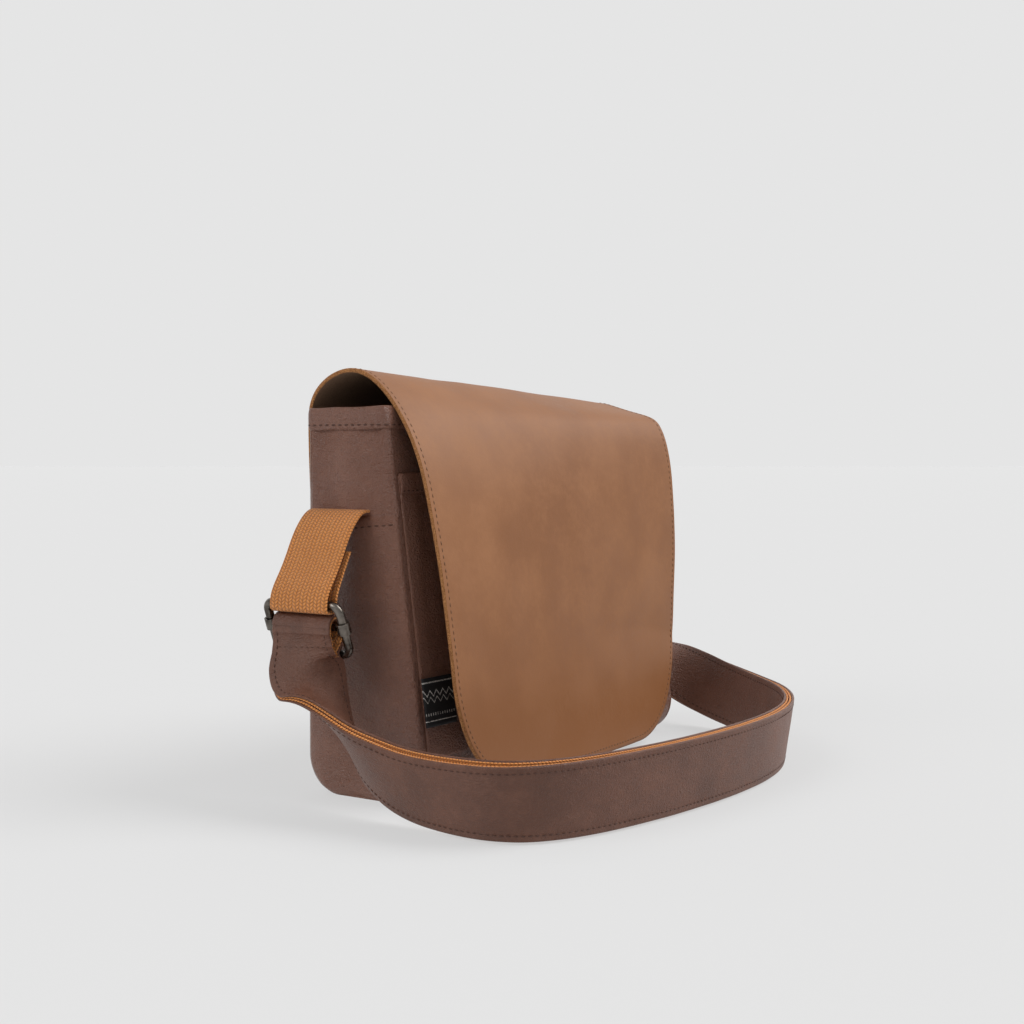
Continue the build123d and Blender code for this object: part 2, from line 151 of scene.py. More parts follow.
class Socket:
    def __init__(self, shader, socket):
        self.shader = shader
        self.socket = socket

    def calc(self, operation, *others):
        node = self.shader.tree.nodes.new("ShaderNodeMath")
        node.operation = operation
        for slot, value in zip(node.inputs, (self, *others)):
            self.shader.feed(slot, value)
        return Socket(self.shader, node.outputs[0])

    def __add__(self, other):
        return self.calc("ADD", other)

    def __sub__(self, other):
        return self.calc("SUBTRACT", other)

    def __mul__(self, other):
        return self.calc("MULTIPLY", other)

    def __gt__(self, other):
        return self.calc("GREATER_THAN", other)

    def __lt__(self, other):
        return self.calc("LESS_THAN", other)

    def sine(self):
        return self.calc("SINE")

    def size(self):
        return self.calc("ABSOLUTE")

    def wrap(self, period):
        return self.calc("MODULO", period)

    def power(self, exponent):
        return self.calc("POWER", exponent)

    def smallest(self, other):
        return self.calc("MINIMUM", other)

    def largest(self, other):
        return self.calc("MAXIMUM", other)


class Shader:
    def __init__(self, name, **constants):
        self.material = bpy.data.materials.new(name)
        self.material.use_nodes = True
        self.tree = self.material.node_tree
        self.surface = self.tree.nodes["Principled BSDF"]
        for key, value in constants.items():
            self.surface.inputs[key.replace("_", " ")].default_value = value
        self.points = self.node("ShaderNodeTexCoord", {}, out="Object")

    def feed(self, slot, value):
        if isinstance(value, Socket):
            self.tree.links.new(value.socket, slot)
        else:
            slot.default_value = value

    def node(self, kind, settings, out=0, **inputs):
        made = self.tree.nodes.new(kind)
        for key, value in settings.items():
            setattr(made, key, value)
        for key, value in inputs.items():
            self.feed(made.inputs[key.replace("_", " ")], value)
        return Socket(self, made.outputs[out])

    def noise(self, scale, detail=3.0, rough=0.5, stretch=None):
        points = self.points
        if stretch:
            points = self.node("ShaderNodeMapping", {}, Vector=points, Scale=stretch)
        return self.node(
            "ShaderNodeTexNoise", {}, out="Fac", Vector=points, Scale=scale, Detail=detail, Roughness=rough
        )

    def cells(self, scale):
        return self.node(
            "ShaderNodeTexVoronoi", {"feature": "SMOOTH_F1"}, out="Distance", Vector=self.points, Scale=scale
        )

    def ramp(self, value, low, high, start=0.0, finish=1.0):
        return self.node(
            "ShaderNodeMapRange", {}, Value=value, From_Min=low, From_Max=high, To_Min=start, To_Max=finish
        )

    def blend(self, share, first, second):
        made = self.tree.nodes.new("ShaderNodeMix")
        made.data_type = "RGBA"
        self.feed(made.inputs[0], share)
        self.feed(made.inputs[6], first)
        self.feed(made.inputs[7], second)
        return Socket(self, made.outputs[2])

    def attribute(self, name, out="Vector"):
        return self.node("ShaderNodeAttribute", {"attribute_name": name}, out=out)

    def parts(self, vector):
        made = self.tree.nodes.new("ShaderNodeSeparateXYZ")
        self.feed(made.inputs[0], vector)
        return [Socket(self, made.outputs[index]) for index in range(3)]

    def bump(self, height, depth, strength=1.0, under=None):
        made = self.tree.nodes.new("ShaderNodeBump")
        made.inputs["Strength"].default_value = strength
        made.inputs["Distance"].default_value = depth
        self.feed(made.inputs["Height"], height)
        if under is not None:
            self.feed(made.inputs["Normal"], under)
        return Socket(self, made.outputs[0])

    def finish(self, **sockets):
        for key, value in sockets.items():
            self.feed(self.surface.inputs[key.replace("_", " ")], value)
        return self.material


# painted shade: one argument holds the heights in metres between which the foot darkens, and how far
def leather(name, dark, middle, light, rough=0.33, grain=900.0, grainDepth=0.0009, creaseDepth=0.006,
            paintedFootShade=None, shine=0.6):
    made = Shader(name, Specular_IOR_Level=shine)
    broad = made.noise(9.0, 3.0, 0.55)
    patches = made.noise(34.0, 4.0, 0.6)
    fine = made.noise(260.0, 4.0, 0.65)
    tone = made.ramp(broad * 0.6 + patches * 0.4, 0.36, 0.64)
    colour = made.blend(tone, (*dark, 1), (*middle, 1))
    colour = made.blend(made.ramp(patches * fine, 0.2, 0.42, 0.0, 0.55), colour, (*light, 1))
    # painted shade: the leather is blended towards its dark colour lower down
    if paintedFootShade:
        low, high, deep = paintedFootShade
        up = made.parts(made.points)[2]
        colour = made.blend(made.ramp(up + broad * 0.02, high, low, 0.0, deep), colour, (*dark, 1))
    pebbles = made.cells(grain)
    creases = made.noise(430.0, 5.0, 0.62, (1.0, 0.45, 1.2))
    creaseLines = (creases - 0.5).size() * 2.0
    under = made.bump(creaseLines.smallest(0.35), creaseDepth, 0.5)
    bump = made.bump(pebbles * 0.7 + fine * 0.5, grainDepth, 0.6, under)
    return made.finish(
        Base_Color=colour,
        Roughness=made.ramp(fine * 0.5 + patches * 0.5, 0.3, 0.7, rough - 0.07, rough + 0.1),
        Normal=bump,
    )


bodyLeather = leather("body_leather", (0.15, 0.059, 0.035), (0.185, 0.076, 0.045), (0.23, 0.1, 0.062))
strapLeatherLook = leather(
    "strap_leather", (0.1, 0.039, 0.0225), (0.141, 0.057, 0.034), (0.18, 0.078, 0.048),
    rough=0.4, grain=1100.0, grainDepth=0.0004, creaseDepth=0.0018, shine=0.42,
)
# the flap leather gets painted shade, darker towards its foot
flapLeather = leather(
    "flap_leather", (0.215, 0.083, 0.027), (0.266, 0.11, 0.04), (0.3, 0.13, 0.052),
    rough=0.48, grain=1500.0, grainDepth=0.00006, creaseDepth=0.0001, paintedFootShade=(0.03, 0.1, 1.0), shine=0.3,
)


def rawEdge():
    made = Shader("raw_edge", Specular_IOR_Level=0.2)
    fibres = made.noise(1400.0, 3.0, 0.7)
    blots = made.noise(220.0, 2.0, 0.6)
    colour = made.blend(made.ramp(fibres, 0.35, 0.65), (0.16, 0.062, 0.02, 1), (0.5, 0.235, 0.09, 1))
    colour = made.blend(made.ramp(blots, 0.45, 0.7, 0.0, 0.5), colour, (0.2, 0.08, 0.03, 1))
    return made.finish(Base_Color=colour, Roughness=0.85, Normal=made.bump(fibres, 0.0006, 0.8))


def wovenTape():
    made = Shader("webbing", Specular_IOR_Level=0.25, Roughness=0.72, Sheen_Weight=0.15)
    across, along = made.parts(made.attribute("ribbon"))[:2]
    ribs = (across + 0.1) * (1000.0 / 2.35)
    ribShare = ribs.wrap(1.0)
    turn = ((ribs.wrap(2.0) > 1.0) * 2.0) - 1.0
    yarn = (along * (1000.0 / 1.75) + turn * ribShare * 0.75).wrap(1.0)
    rounded = (yarn * math.pi).sine() * (ribShare * math.pi).sine()
    height = rounded.largest(0.0).power(0.6)
    tint = made.noise(500.0, 3.0, 0.6)
    broad = made.noise(25.0, 2.0, 0.5)
    # painted shade: the valleys between the yarns take the dark colour and the crests the light one
    colour = made.blend(height, (0.27, 0.078, 0.014, 1), (0.74, 0.275, 0.066, 1))
    colour = made.blend(made.ramp(tint, 0.3, 0.7, 0.0, 0.3), colour, (0.74, 0.36, 0.12, 1))
    colour = made.blend(made.ramp(broad, 0.35, 0.65, 0.0, 0.25), colour, (0.42, 0.16, 0.04, 1))
    return made.finish(Base_Color=colour, Normal=made.bump(height, 0.0007, 0.9))


def darkCloth(name, colour):
    made = Shader(name, Specular_IOR_Level=0.2, Roughness=0.85)
    weave = made.noise(1500.0, 2.0, 0.5)
    shade = made.blend(made.ramp(weave, 0.3, 0.7, 0.0, 0.5), (*colour, 1), (*[c * 1.8 for c in colour], 1))
    return made.finish(Base_Color=shade, Normal=made.bump(weave, 0.0003, 0.6))


def buckleMetal():
    made = Shader("buckle_metal", Metallic=1.0)
    wear = made.noise(160.0, 4.0, 0.6)
    colour = made.blend(made.ramp(wear, 0.35, 0.65), (0.075, 0.066, 0.058, 1), (0.21, 0.185, 0.16, 1))
    return made.finish(Base_Color=colour, Roughness=made.ramp(wear, 0.3, 0.7, 0.2, 0.36))


def threadLook(name, colour):
    made = Shader(name, Specular_IOR_Level=0.35, Roughness=0.6)
    twist = made.noise(2600.0, 2.0, 0.5)
    shade = made.blend(twist, (*[c * 0.6 for c in colour], 1), (*colour, 1))
    return made.finish(Base_Color=shade)


def wovenTab():
    made = Shader("woven_tab", Specular_IOR_Level=0.35, Roughness=0.6)
    across, along = made.parts(made.attribute("ribbon"))[:2]
    col = across * 1000.0
    row = along * 1000.0
    zig = (col.wrap(5.0) - 2.5).size()
    upper = ((row - 15.5 - zig * 1.2).size() < 0.45)
    lower = ((row - 12.2 - zig * 1.2).size() < 0.3)
    dots = ((col * math.pi * 1.1).sine() > 0.45) * ((row - 6.4).size() < 0.7)
    lines = ((row - 22.6).size() < 0.35).largest((row - 3.0).size() < 0.25)
    speck = made.noise(2200.0, 2.0, 0.6) > 0.43
    mark = upper.largest(lower).largest(dots).largest(lines) * speck
    weave = (col * 9.0).sine() * (row * 9.0).sine()
    colour = made.blend(mark, (0.008, 0.008, 0.009, 1), (0.55, 0.53, 0.5, 1))
    return made.finish(Base_Color=colour, Normal=made.bump(weave * 0.4 + mark, 0.0002, 0.6))


edgeLook = rawEdge()
tapeLook = wovenTape()
liningLook = darkCloth("lining_cloth", (0.03, 0.02, 0.015))
backingLook = darkCloth("flap_backing", (0.2, 0.12, 0.075))
metalLook = buckleMetal()
tabLook = wovenTab()
brownThread = threadLook("brown_thread", (0.085, 0.035, 0.022))
tanThread = threadLook("tan_thread", (0.16, 0.065, 0.025))
boardLook = darkCloth("board", (0.02, 0.02, 0.02))
print("materials made")


# mesh helpers

def keepMesh(name, bm, materials, smooth=True):
    mesh = bpy.data.meshes.new(name)
    bmesh.ops.recalc_face_normals(bm, faces=bm.faces)
    bm.to_mesh(mesh)
    bm.free()
    for material in materials:
        mesh.materials.append(material)
    if smooth:
        mesh.polygons.foreach_set("use_smooth", [True] * len(mesh.polygons))
    made = bpy.data.objects.new(name, mesh)
    bpy.context.collection.objects.link(made)
    return made


# a grid whose corners run from 0 to 1 both ways, each corner placed by a rule
def grid(columns, rows, rule, ribbonSize=None):
    bm = bmesh.new()
    bmesh.ops.create_grid(bm, x_segments=columns, y_segments=rows, size=0.5)
    layer = bm.verts.layers.float_vector.new("ribbon")
    for vert in bm.verts:
        u = vert.co.x + 0.5
        v = vert.co.y + 0.5
        if ribbonSize:
            vert[layer] = (u * ribbonSize[0], v * ribbonSize[1], 0)
        vert.co = rule(u, v)
    return bm


def thicken(made, thickness, offset=-1.0, rim=0, inner=0):
    solid = made.modifiers.new("thickness", "SOLIDIFY")
    solid.thickness = thickness
    solid.offset = offset
    solid.material_offset_rim = rim
    solid.material_offset = inner
    solid.use_even_offset = True
    return made


# stitches as short rounded threads laid along a line of points on a surface
def stitchRow(bm, places, normals, pitch=3.4, length=2.5, gauge=0.45, sink=0.12):
    lengths = [0.0]
    for before, after in zip(places, places[1:]):
        lengths.append(lengths[-1] + (after - before).length)
    total = lengths[-1]
    count = int(total / (pitch * mm))
    if count < 1:
        return
    step = total / count
    index = 0
    for number in range(count):
        middle = (number + 0.5) * step
        while index < len(lengths) - 2 and lengths[index + 1] < middle:
            index += 1
        share = (middle - lengths[index]) / max(lengths[index + 1] - lengths[index], 1e-9)
        place = places[index].lerp(places[index + 1], share)
        normal = normals[index].lerp(normals[index + 1], share).normalized()
        along = (places[index + 1] - places[index]).normalized()
        along = (along + normal.cross(along) * random.uniform(-0.06, 0.06)).normalized()
        side = normal.cross(along).normalized()
        turn = Matrix((along, side, normal)).transposed().to_4x4()
        turn.translation = place - normal * sink * mm
        size = Matrix.Diagonal((length * mm / 2, gauge * mm, gauge * mm * 0.9, 1))
        bmesh.ops.create_icosphere(bm, subdivisions=1, radius=1.0, matrix=turn @ size)


def smoothstep(low, high, value):
    share = min(max((value - low) / (high - low), 0.0), 1.0)
    return share * share * (3 - 2 * share)


def ripple(place, scale, seed=0.0):
    return noise.noise(Vector(place) * scale + Vector((seed, seed * 1.7, seed * 0.3)))


# bag body

bag = {
    "halfWidth": 132.0,
    "height": 204.0,
    "backY": 42.0,
    "frontTopY": -10.0,
    "frontBaseY": -37.0,
    "baseRound": 20.0,
    "patchTop": 149.0,
    "hemHeight": 12.5,
    "sideBulge": 7.5,
}
lean = (bag["frontTopY"] - bag["frontBaseY"]) / bag["height"]
leanAngle = math.atan(lean)


# the side outline at a height: where the back and the front edge stand
def edgesAt(z):
    back = bag["backY"]
    front = bag["frontBaseY"] + lean * z
    rise = bag["baseRound"]
    if z < rise:
        back -= rise - math.sqrt(max(rise * rise - (rise - z) ** 2, 0.0))
        centre = bag["frontBaseY"] + lean * rise + rise / math.cos(leanAngle)
        low = centre - math.sqrt(max(rise * rise - (rise - z) ** 2, 0.0))
        front = max(front, low)
    return back, front


def sideFold(y, z, seed):
    long = ripple((y * 1.1, z * 0.4, 0), 0.045, seed) * 4.2
    fine = ripple((y * 0.7 + z * 0.5, z * 0.9, 0), 0.13, seed + 5) * 0.8
    return long + fine


def sidePoint(sign, u, v, low, high, lift, seed):
    rows = low + (high - low) * v
    back, front = edgesAt(rows)
    y = back + (front - back) * u
    edge = min(u, 1 - u) * (back - front)
    rounding = 1.6 * (1 - smoothstep(0.0, 3.2, edge))
    base = 1.4 * (1 - smoothstep(0.0, 4.0, rows))
    bulge = bag["sideBulge"] * math.sin(math.pi * u**0.8) * math.sin(math.pi * min(rows / 190.0, 1.0))
    fold = sideFold(y, rows, seed) * smoothstep(0.0, 8.0, edge)
    out = bag["halfWidth"] - rounding - base + bulge * 0.5 + fold * 0.55 + lift
    return Vector((sign * out, y, rows)) * mm


# rows bunch up towards the rounded foot
def footBias(v):
    return v ** 1.35


def makeSide(sign, name, patchName, seed):
    top = bag["height"] - 3.0
    wall = grid(34, 90, lambda u, v: sidePoint(sign, u, footBias(v), 0.4, top, 0.0, seed))
    side = thicken(keepMesh(name, wall, [bodyLeather]), 1.4 * mm, 0.0)

    def patchPoint(u, v):
        dip = 2.6 * math.exp(-((u - 0.47) / 0.3) ** 2) + 0.5 * ripple((u * 9, 0, 0), 1.0, seed)
        edgeLift = 1.15 * smoothstep(0.0, 0.012, v) * smoothstep(0.0, 0.02, 1 - v)
        return sidePoint(sign, u, footBias(v), 0.4, bag["patchTop"] - dip, 0.35 + edgeLift, seed)

    patch = thicken(keepMesh(patchName, grid(34, 80, patchPoint), [bodyLeather]), 1.0 * mm, 0.0)
    places = []
    normals = []
    for step in range(60):
        u = 0.03 + 0.94 * step / 59
        place = patchPoint(u, 0.972)
        places.append(place + Vector((sign * 0.5, 0, 0)) * mm)
        normals.append(Vector((sign, 0, 0)))
    seam = bmesh.new()
    stitchRow(seam, places, normals, 4.0, 3.0, 0.52, 0.1)
    stitches = keepMesh(patchName + "_stitches", seam, [brownThread])
    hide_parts("left_gusset" if sign < 0 else "right_gusset")
    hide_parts("left_gusset_patch" if sign < 0 else "right_gusset_patch")
    for piece in (side, patch, stitches):
        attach(piece, "bag")


makeSide(-1, "gusset_left", "gusset_patch_left", 3.0)
makeSide(1, "gusset_right", "gusset_patch_right", 11.0)


# the leather that runs down the back, under the base and up the front
def wrapLine():
    rise = bag["baseRound"]
    backCentre = bag["backY"] - rise
    frontCentre = bag["frontBaseY"] + lean * rise + rise / math.cos(leanAngle)
    line = []
    for step in range(31):
        line.append((bag["backY"], bag["height"] - 3 - (bag["height"] - 3 - rise) * step / 30))
    for step in range(1, 13):
        angle = math.pi / 2 * step / 12
        line.append((backCentre + rise * math.cos(angle), rise - rise * math.sin(angle)))
    for step in range(1, 9):
        line.append((backCentre + (frontCentre - backCentre) * step / 8, 0.0))
    sweepAngle = math.pi / 2 - leanAngle
    for step in range(1, 13):
        angle = sweepAngle * step / 12
        line.append((frontCentre - rise * math.sin(angle), rise - rise * math.cos(angle)))
    startY, startZ = line[-1]
    for step in range(1, 31):
        z = startZ + (bag["height"] - 3 - startZ) * step / 30
        line.append((bag["frontBaseY"] + lean * z, z))
    return [Vector((0, y, z)) for y, z in line]


bodyLine = wrapLine()
bodyNormals = []
for index in range(len(bodyLine)):
    before = bodyLine[max(index - 1, 0)]
    after = bodyLine[min(index + 1, len(bodyLine) - 1)]
    way = (after - before).normalized()
    bodyNormals.append(Vector((0, -way.z, way.y)))


def wrapPoint(u, v, reach, push, seed):
    spot = v * (len(bodyLine) - 1)
    index = min(int(spot), len(bodyLine) - 2)
    share = spot - index
    place = bodyLine[index].lerp(bodyLine[index + 1], share)
    normal = bodyNormals[index].lerp(bodyNormals[index + 1], share).normalized()
    x = (u * 2 - 1) * reach
    edge = reach - abs(x)
    rounding = 1.5 * (1 - smoothstep(0.0, 3.0, edge))
    flat = smoothstep(4.0, 22.0, place.z)
    fold = ripple((x * 0.35, place.y, place.z), 0.05, seed) * 1.2 * flat * smoothstep(0.0, 14.0, edge)
    return (Vector((x, place.y, place.z)) - normal * (rounding * flat - fold * 0.5 - push)) * mm


shell = grid(120, 92, lambda u, v: wrapPoint(u, v, bag["halfWidth"] - 0.2, -0.25, 21.0))
bodyShell = thicken(keepMesh("body_shell", shell, [bodyLeather]), 1.4 * mm, 0.0)
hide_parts("back_panel", "front_panel", "bottom_panel")
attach(bodyShell, "bag")


# cloth lining, a little inside the leather
def liningPoint(u, v):
    return wrapPoint(u, v, bag["halfWidth"] - 2.6, -2.4, 31.0)


def liningSide(sign):
    def point(u, v):
        place = sidePoint(sign, u, v, 3.0, bag["height"] - 5.0, -2.6, 41.0)
        back, front = edgesAt(place.z / mm)
        place.y = min(max(place.y, (front + 2.3) * mm), (back - 2.3) * mm)
        return place
    return grid(14, 40, point)


lining = keepMesh("lining_wrap", grid(60, 92, liningPoint), [liningLook])
liningEnds = [
    keepMesh(f"lining_end_{side}", liningSide(sign), [liningLook])
    for side, sign in (("left", -1), ("right", 1))
]
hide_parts("lining")
for piece in (lining, *liningEnds):
    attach(piece, "bag")


# padded hem folded over the rim: a rounded strip swept round the mouth
def mouthRing(z, out):
    top = bag["frontBaseY"] + lean * z
    half = bag["halfWidth"] + out
    back = bag["backY"] + out
    front = top - out
    corner = 3.0
    corners = [(-half, back), (half, back), (half, front), (-half, front)]
    ring = []
    for index, (x, y) in enumerate(corners):
        start = [math.pi, math.pi / 2, 0.0, -math.pi / 2][index]
        cx = x - math.copysign(corner, x)
        cy = y - (corner if y > 0 else -corner)
        for step in range(6):
            angle = start - math.pi / 2 * step / 5
            ring.append(Vector((cx + corner * math.cos(angle), cy + corner * math.sin(angle), z)))
    full = []
    for index, place in enumerate(ring):
        following = ring[(index + 1) % len(ring)]
        count = max(int((following - place).length / 2.2), 1)
        for step in range(count):
            full.append(place.lerp(following, step / count))
    return full


def makeHem():
    ring = mouthRing(bag["height"] - 6.0, 0.0)
    profileSteps = 20
    profile = []
    for step in range(profileSteps):
        angle = 2 * math.pi * step / profileSteps
        across = math.cos(angle)
        up = math.sin(angle)
        bend = 1.75 * math.copysign(abs(across) ** 0.7, across)
        profile.append((bend, 6.1 * math.copysign(abs(up) ** 0.62, up)))
    count = len(ring)

    def stationAt(index):
        place = ring[index % count]
        way = (ring[(index + 1) % count] - ring[(index - 1) % count]).normalized()
        outward = Vector((-way.y, way.x, 0))
        wave = 0.45 * ripple(place, 0.08, 51.0)
        return place, outward, wave

    def hemPoint(u, v):
        place, outward, wave = stationAt(round(u * count))
        across, up = profile[round(v * profileSteps) % profileSteps]
        lift = 0.8 * ripple(place, 0.045, 57.0)
        leanShift = lean * up if outward.y < -0.5 else 0.0
        return (place + outward * (across + wave) + Vector((0, leanShift, up + lift))) * mm

    bm = grid(count, profileSteps, hemPoint)
    bmesh.ops.remove_doubles(bm, verts=bm.verts, dist=1e-6)
    hem = keepMesh("mouth_hem", bm, [bodyLeather])
    low = []
    normals = []
    for index in range(count + 1):
        place, outward, wave = stationAt(index)
        leanShift = -lean * 3.4 if outward.y < -0.5 else 0.0
        low.append((place + outward * (1.6 + wave) + Vector((0, leanShift, -3.4))) * mm)
        normals.append(outward)
    seam = bmesh.new()
    stitchRow(seam, low, normals, 4.3, 3.2, 0.55, 0.1)
    stitches = keepMesh("mouth_hem_stitches", seam, [brownThread])
    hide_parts("left_hem", "right_hem", "front_hem")
    for piece in (hem, stitches):
        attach(piece, "bag")


makeHem()
print("body made")


# front pocket and tab

pocket = {"low": 24.0, "top": 170.0, "half": 129.5, "bulge": 6.5, "hem": 9.5, "stand": 0.6, "wall": 1.3}
upFront = Vector((0, math.sin(leanAngle), math.cos(leanAngle)))
outFront = Vector((0, -math.cos(leanAngle), math.sin(leanAngle)))


def pocketPoint(u, v, low, high, lift):
    x = (u * 2 - 1) * pocket["half"]
    rise = low + (high - low) * v
    bow = pocket["bulge"] * (1 - (x / pocket["half"]) ** 2) * (1 - 0.3 * max(x, 0.0) / pocket["half"])
    edge = pocket["half"] - abs(x)
    crease = ripple((x * 1.3, 0, rise * 0.25), 0.07, 61.0) * 1.3 * smoothstep(0.0, 10.0, edge)
    crease += ripple((x, 0, rise * 0.8), 0.14, 67.0) * 0.4
    stand = pocket["stand"] + bow + crease * 0.6 + lift
    return (Vector((x, bag["frontBaseY"], 0)) + upFront * rise + outFront * stand) * mm


wall = grid(150, 80, lambda u, v: pocketPoint(u, v, pocket["low"], pocket["top"], 0.0))
pocketWall = thicken(keepMesh("front_pocket_wall", wall, [bodyLeather]), pocket["wall"] * mm, 0.0)
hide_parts("front_pocket")


def pocketHemPoint(u, v):
    puff = 1.5 * math.sin(math.pi * min(max(v, 0.0), 1.0)) ** 0.5
    return pocketPoint(u, v, pocket["top"] - pocket["hem"], pocket["top"] + 0.8, 0.5 + puff * 0.7)


hemGrid = grid(150, 10, pocketHemPoint)
hemStrip = thicken(keepMesh("front_pocket_hem", hemGrid, [bodyLeather]), 1.0 * mm, 0.0)
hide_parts("pocket_hem")
seam = bmesh.new()
hemPlaces = [pocketHemPoint(step / 160, 0.12) + outFront * 0.5 * mm for step in range(161)]
stitchRow(seam, hemPlaces, [outFront] * 161, 3.3, 2.4)
pocketStitches = keepMesh("front_pocket_stitches", seam, [brownThread])
for piece in (pocketWall, hemStrip, pocketStitches):
    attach(piece, "bag")


tabSize = {"wide": 24.0, "high": 25.0, "low": 40.5}


def tabPoint(u, v):
    x = -bag["halfWidth"] + 0.5 + tabSize["wide"] * u
    rise = tabSize["low"] + tabSize["high"] * v
    curl = 3.4 + 1.2 * u + 0.5 * math.sin(math.pi * v) * u
    return (Vector((x, bag["frontBaseY"], 0)) + upFront * rise + outFront * curl) * mm


tabCloth = grid(16, 16, tabPoint, (tabSize["wide"] * mm, tabSize["high"] * mm))
tab = thicken(keepMesh("woven_tab", tabCloth, [tabLook]), 0.7 * mm, 0.0)
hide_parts("woven_label")
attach(tab, "bag")
print("pocket made")


# flap

flap = {
    "width": 256.0,
    "corner": 62.0,
    "thickness": 2.2,
    "stitchInset": 2.9,
    "tuck": 24.6,        # how far the right side leans back at the foot
    "tuckFade": 0.172,   # what the tuck loses per mm of height
    "droop": 12.0,       # how far the right side of the crown sinks
    "clearance": 4.4,    # least space between the flap and the pocket wall
}
# side profile from the foot of the yoke over the top to the foot of the flap, y and z in mm
flapControls = [
    (45.2, 161.0),
    (45.6, 180.0),
    (46.2, 199.0),
    (45.2, 206.6),
    (40.8, 214.4),
    (31.0, 221.6),
    (18.0, 225.0),
    (6.0, 222.6),
    (-6.4, 213.8),
    (-16.6, 201.4),
    (-24.5, 187.4),
    (-31.6, 169.6),
    (-36.6, 150.0),
    (-41.7, 124.0),
    (-45.7, 100.0),
    (-49.3, 76.0),
    (-52.7, 52.0),
    (-55.7, 28.0),
    (-58.2, 5.0),
]
flapLine = readSpline([(0, y, z) for y, z in flapControls], 10)
flapReach = [0.0]
for before, after in zip(flapLine, flapLine[1:]):
    flapReach.append(flapReach[-1] + (after - before).length)
flapLong = flapReach[-1]


def flapPlace(x, reach):
    index = 0
    while index < len(flapReach) - 2 and flapReach[index + 1] < reach:
        index += 1
    share = (reach - flapReach[index]) / (flapReach[index + 1] - flapReach[index])
    place = flapLine[index].lerp(flapLine[index + 1], share)
    way = (flapLine[index + 1] - flapLine[index]).normalized()
    normal = Vector((0, way.z, -way.y))
    side = x / flap["width"] + 0.5
    front = smoothstep(10.0, -25.0, place.y)
    tuck = side * (flap["tuck"] - flap["tuckFade"] * place.z) * front
    place = place + Vector((0, tuck, 0))
    place.z -= flap["droop"] * side * smoothstep(196.0, 224.0, place.z) * smoothstep(28.0, 62.0, reach)
    if place.z < 175.0 and place.y < -10.0:
        bow = pocket["bulge"] * (1 - (x / pocket["half"]) ** 2)
        wallY = bag["frontBaseY"] + lean * place.z - pocket["stand"] - bow - pocket["wall"]
        place.y = min(place.y, wallY - flap["thickness"] - flap["clearance"])
    front = smoothstep(150.0, 260.0, reach)
    wave = ripple((x * 0.5, 0, place.z * 0.5), 0.022, 71.0) * 1.8 * front
    wave += ripple((x, 0, place.z), 0.03, 73.0) * 0.5
    low = smoothstep(flapLong - 70.0, flapLong, reach)
    wave -= low * 1.6 * (abs(x) / (flap["width"] / 2)) ** 2
    return Vector((x, place.y, place.z)) + normal * wave, normal


def flapEnd(x):
    straight = flap["width"] / 2 - flap["corner"]
    past = max(abs(x) - straight, 0.0)
    return flapLong - flap["corner"] + math.sqrt(max(flap["corner"] ** 2 - past**2, 0.0))


def flapX(u):
    side = u * 2 - 1
    half = flap["width"] / 2
    straight = half - flap["corner"]
    share = abs(side)
    if share < 0.45:
        return math.copysign(straight * share / 0.45, side)
    angle = (share - 0.45) / 0.55 * math.pi / 2
    return math.copysign(straight + flap["corner"] * math.sin(angle), side)


def flapPoint(u, v):
    x = flapX(u)
    place, normal = flapPlace(x, v * flapEnd(x))
    return place * mm


# turns every face of a sheet to the side that looks the given way
def face(bm, towards):
    bmesh.ops.recalc_face_normals(bm, faces=bm.faces)
    bm.normal_update()
    total = sum((f.normal * f.calc_area() for f in bm.faces), Vector())
    if total.dot(Vector(towards)) < 0:
        bmesh.ops.reverse_faces(bm, faces=bm.faces)
    return bm


def keepSheet(name, bm, materials, towards):
    face(bm, towards)
    mesh = bpy.data.meshes.new(name)
    bm.to_mesh(mesh)
    bm.free()
    for material in materials:
        mesh.materials.append(material)
    mesh.polygons.foreach_set("use_smooth", [True] * len(mesh.polygons))
    made = bpy.data.objects.new(name, mesh)
    bpy.context.collection.objects.link(made)
    return made


flapSheet = keepSheet(
    "flap_sheet", grid(96, 150, flapPoint), [flapLeather, edgeLook, backingLook], (0, -1, 0.3)
)
thicken(flapSheet, flap["thickness"] * mm, -1.0, 1, 2)
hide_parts("flap_leather", "flap_lining", "back_yoke")


# the stitch line follows the cut edge all the way round
def flapBorder(inset):
    half = flap["width"] / 2 - inset
    radius = flap["corner"] - inset
    low = flapLong - inset
    border = []
    for step in range(81):
        border.append((-half, 6.0 + (low - radius - 6.0) * step / 80))
    for step in range(1, 17):
        angle = math.pi / 2 * step / 16
        border.append((-half + radius - radius * math.cos(angle), low - radius + radius * math.sin(angle)))
    for step in range(1, 41):
        border.append((-half + radius + (half - radius) * 2 * step / 40, low))
    left = border[:97]
    border += [(-x, reach) for x, reach in reversed(left)]
    return border


places = []
normals = []
for x, reach in flapBorder(flap["stitchInset"]):
    place, normal = flapPlace(x, reach)
    places.append(place * mm)
    normals.append(normal)
seam = bmesh.new()
stitchRow(seam, places, normals, 3.5, 2.6, 0.48, 0.12)
for reach in (10.0, 34.0):
    across = [flapPlace(-120 + 240 * step / 80, reach) for step in range(81)]
    stitchRow(seam, [place * mm for place, normal in across], [normal for place, normal in across], 3.5, 2.5)
flapStitches = keepMesh("flap_stitches", seam, [tanThread])
for piece in (flapSheet, flapStitches):
    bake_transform(piece)


magnet = {"radius": 8.0, "depth": 1.6, "side": 62.0, "fromFoot": 59.0}


